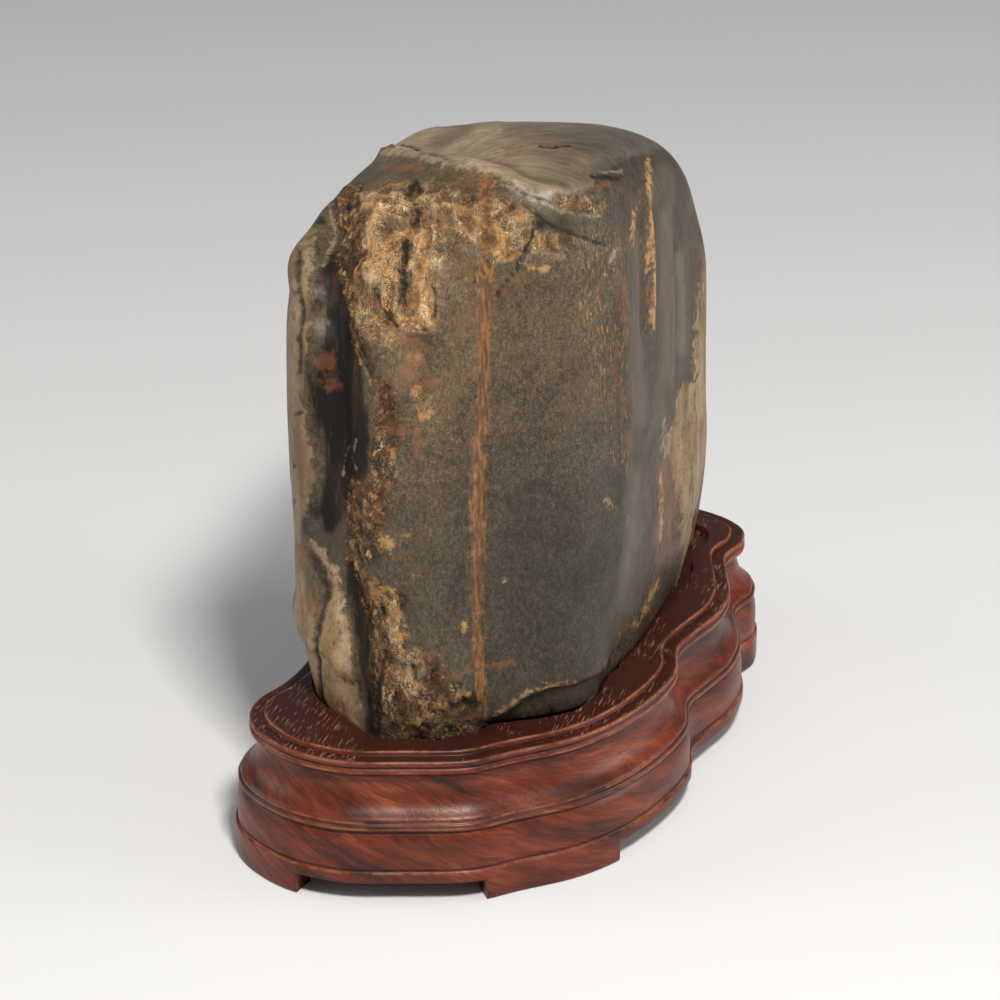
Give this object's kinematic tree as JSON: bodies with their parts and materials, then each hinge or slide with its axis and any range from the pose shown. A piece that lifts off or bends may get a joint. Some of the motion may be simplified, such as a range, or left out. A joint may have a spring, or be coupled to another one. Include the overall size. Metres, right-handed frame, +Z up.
{
  "type": "scholars rock",
  "caption": "Upright water-worn scholar's stone with rounded shoulders and a rusty seam, resting in the socket of a carved, lobed hardwood stand on low feet.",
  "frame": {"origin": "middle of the object's footprint, on the table under its feet", "axes": "+Z up, +Y along the stand from its front to its back, +X across it to the right as seen from the front"},
  "size_m": [0.1832, 0.287, 0.2951],
  "materials": {
    "stone": "worn smooth, satin, with rough rusty crust",
    "stand": "oiled and waxed dark reddish hardwood"
  },
  "bodies": {
    "root": {"stone": "stone", "stand": "stand"}
  },
  "joints": []
}
